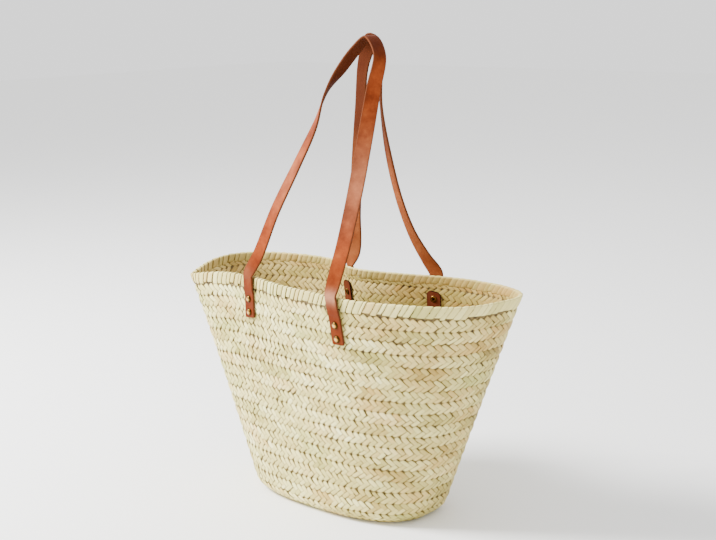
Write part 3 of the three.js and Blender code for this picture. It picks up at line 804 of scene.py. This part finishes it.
def makeStrap(which):
    leftAt, leftFace = legStations(which, 0)
    rightAt, rightFace = legStations(which, 1)
    stations = np.concatenate([leftAt, crownOf(which)[None], rightAt[::-1]])
    faces = np.concatenate([leftFace, facing(which["crownFace"], which["crownTip"])[None], rightFace[::-1]])
    at, face = smoothLine(stations, faces, strap["perRow"])
    along = unit(np.gradient(at, axis=0))
    wide = unit(np.cross(along, face))
    out = np.cross(wide, along)
    run = np.concatenate([[0], np.cumsum(np.linalg.norm(np.diff(at, axis=0), axis=1))])
    fromEnd = np.minimum(run, run[-1] - run)
    halfWidths = strap["width"] / 2 - strap["endTaper"] * np.exp(-fromEnd / strap["endTaper"])
    # a highlight is painted pale where the strap bends out over the band, and a little half-way up
    highlightShare = 0
    for station, shares in ((run, which["highlightShare"][0]), (run[-1] - run, which["highlightShare"][1])):
        for place, spread, share in zip(strap["highlightAt"], strap["highlightSpread"], shares):
            highlightShare = highlightShare + share * np.exp(-(((station - place) / spread) ** 2))
    makeStrip(f"{which['name']}Strap", at, wide, out, halfWidths, strap, strapMaterial,
              [f"strap_{which['name']}"], highlightShare)


def makeTab(which, hand, word):
    endDrop = tab["endDrop"] - which["lift"][hand] * strap["endDrop"]
    corner = tab["topDrop"] + tab["topRound"] * (1 - np.cos(np.linspace(0.12, np.pi / 2, 9)))
    drops = np.concatenate([corner, np.linspace(corner[-1], endDrop, 14)[1:]])
    short = np.clip(tab["topRound"] - (drops - tab["topDrop"]), 0, None)
    halfWidths = tab["width"] / 2 - tab["topRound"] + np.sqrt(tab["topRound"] ** 2 - short ** 2)
    skin = -(basket["wall"] / 2 + tab["gap"] + tab["thickness"] / 2)
    at, along, out = seatOn(which, hand, drops, np.full(drops.shape, skin))
    makeStrip(f"{which['name']}Tab{word.capitalize()}", at, along, -out, halfWidths, tab, tabMaterial,
              [f"tab_{which['name']}_{word}"])


# Rivets: domed caps of brass, antiqued dark and rubbed bright on top

rivetLook = {
    "stops": [(0.2, "1f1408"), (0.6, "74501f"), (1.0, "cf9f52")], "noise": 900.0, "noiseShare": 0.35,
}
rivetMaterial, rivetTree, rivetSurface = startMaterial("antiqueBrass", Metallic=1.0, Roughness=0.24)
rivetPlace = addNode(rivetTree, "ShaderNodeTexCoord").outputs["Object"]
rivetWear = addNode(rivetTree, "ShaderNodeAttribute", {"attribute_name": "wear"})
rivetNoise = addNode(rivetTree, "ShaderNodeTexNoise", {"Scale": rivetLook["noise"], "Detail": 4.0},
                     {"Vector": rivetPlace})
rivetMix = clampedSum(rivetTree, rivetNoise.outputs["Fac"], rivetLook["noiseShare"],
                      rivetWear.outputs["Fac"])
rivetTree.links.new(colourRamp(rivetTree, rivetMix, rivetLook["stops"]), rivetSurface.inputs["Base Color"])


def makeRivet(which, hand, word, level):
    # a profile of radius, distance out of the wall's middle and wear, turned about the rivet's axis
    drop = np.array([rivet["drops"][level] - which["lift"][hand] * strap["endDrop"]])
    at, along, out = (v[0] for v in seatOn(which, hand, drop, np.zeros(1)))
    up = np.cross(out, along)
    headSeat = strapSkin(strap["endDrop"]) + strap["thickness"] / 2 + rivet["gap"]
    capSeat = -(basket["wall"] / 2 + tab["gap"] + tab["thickness"] + rivet["gap"])
    turn = np.linspace(0, np.pi / 2, rivet["domeSteps"])
    least, more = rivet["domeWear"]
    dome = np.stack([rivet["domeRadius"] * np.cos(turn),
                     rivet["domeFrom"] + rivet["domeHeight"] * np.sin(turn),
                     least + more * np.sin(turn) ** 2], -1)
    dome[-1, 0] = 0
    cap, head = np.array(rivet["cap"]), np.concatenate([rivet["head"], dome])
    radius, away, wear = np.concatenate([cap + [0, capSeat, 0], head + [0, headSeat, 0]]).T
    spin = np.arange(rivet["around"]) / rivet["around"] * 2 * np.pi
    ring = along * np.cos(spin)[:, None] + up * np.sin(spin)[:, None]
    points = at + radius[1:-1, None, None] * ring + out * away[1:-1, None, None]
    rows, columns = points.shape[:2]
    poles = at + out * away[[0, -1]][:, None]
    points = np.concatenate([points.reshape(-1, 3), poles])
    quads = gridFaces(rows, columns, wrapColumns=True)
    k = np.arange(columns)
    k2 = (k + 1) % columns
    low = np.stack([k2, k, np.full(columns, rows * columns)], -1)
    last = (rows - 1) * columns
    high = np.stack([last + k, last + k2, np.full(columns, rows * columns + 1)], -1)
    loops = np.concatenate([quads.ravel(), low.ravel(), high.ravel()])
    starts = np.concatenate([np.arange(len(quads)) * 4, len(quads) * 4 + np.arange(2 * columns) * 3])
    wearRows = np.concatenate([np.repeat(wear[1:-1], columns), wear[[0, -1]]])
    name = f"{which['name']}Rivet{word.capitalize()}{('Upper', 'Lower')[level]}"
    makeMesh(name, points, starts, loops, rivetMaterial,
             [f"rivet_{which['name']}_{word}_{('upper', 'lower')[level]}"], 35, {"wear": wearRows})


for which in straps:
    makeStrap(which)
    for hand, word in enumerate(("left", "right")):
        makeTab(which, hand, word)
        for level in (0, 1):
            makeRivet(which, hand, word, level)
print("straps, tabs and rivets made")


# Stage: a pale floor under the base, soft studio light, and the photograph's view

view = {
    "azimuth": 42.0, "distance": 1629.61, "height": 623.09, "yaw": -0.56, "pitch": 11.58, "roll": -0.99,
    "focalPixels": 1354.75, "frameWidth": 716,
}
stage = {
    "floor": "fafaf9", "reach": 8.0, "below": 0.0005, "world": 1.5, "aim": (-0.05, 0, -0.35),
    # name, power in W, side and place in m
    "lamps": (("keySoftbox", 195.0, 0.8, (-1.5, -1.1, 1.2)), ("fillSoftbox", 2.0, 1.5, (2.2, 0.4, 0.6))),
}


def makeStage():
    low = -basket["hangHeight"] / 1000 - stage["below"]
    floor = bpy.data.meshes.new("studioFloor")
    r = stage["reach"]
    floor.from_pydata([(-r, -r, low), (r, -r, low), (r, r, low), (-r, r, low)], [], [(0, 1, 2, 3)])
    floorMaterial, _, floorSurface = startMaterial("paleStudioFloor", Roughness=0.9)
    floorSurface.inputs["Base Color"].default_value = linearColour(stage["floor"])
    floor.materials.append(floorMaterial)
    floorPiece = bpy.data.objects.new("studioFloor", floor)
    bpy.context.scene.collection.objects.link(floorPiece)
    world = bpy.data.worlds.new("studioWorld")
    world.use_nodes = True
    background = world.node_tree.nodes["Background"]
    background.inputs["Color"].default_value = (1, 1, 1, 1)
    background.inputs["Strength"].default_value = stage["world"]
    bpy.context.scene.world = world
    for name, power, size, place in stage["lamps"]:
        lamp = bpy.data.lights.new(name, "AREA")
        lamp.energy, lamp.size = power, size
        lampPiece = bpy.data.objects.new(name, lamp)
        back = unit(np.array(place) - stage["aim"])
        right = unit(np.cross([0, 0, 1], back))
        turned = np.stack([right, np.cross(back, right), back], 1)
        lampPiece.matrix_world = Matrix.Translation(place) @ Matrix(turned.tolist()).to_4x4()
        bpy.context.scene.collection.objects.link(lampPiece)


def makeCamera():
    azimuth, pitch, roll = (np.radians(view[key]) for key in ("azimuth", "pitch", "roll"))
    turn = azimuth + np.radians(view["yaw"])
    place = np.array([np.sin(azimuth) * view["distance"] - basket["hangX"],
                      -np.cos(azimuth) * view["distance"], view["height"] - basket["hangHeight"]]) / 1000
    forward = np.array([-np.sin(turn) * np.cos(pitch), np.cos(turn) * np.cos(pitch), -np.sin(pitch)])
    right = np.array([np.cos(turn), np.sin(turn), 0])
    up = np.cross(right, forward)
    right, up = right * np.cos(roll) + up * np.sin(roll), up * np.cos(roll) - right * np.sin(roll)
    camera = bpy.data.cameras.new("photoCamera")
    camera.lens = view["focalPixels"] / view["frameWidth"] * camera.sensor_width
    piece = bpy.data.objects.new("photoCamera", camera)
    turned = Matrix(np.stack([right, up, -forward], 1).tolist()).to_4x4()
    piece.matrix_world = Matrix.Translation(place) @ turned
    bpy.context.scene.collection.objects.link(piece)
    bpy.context.scene.camera = piece


makeStage()
makeCamera()
print("stage set")
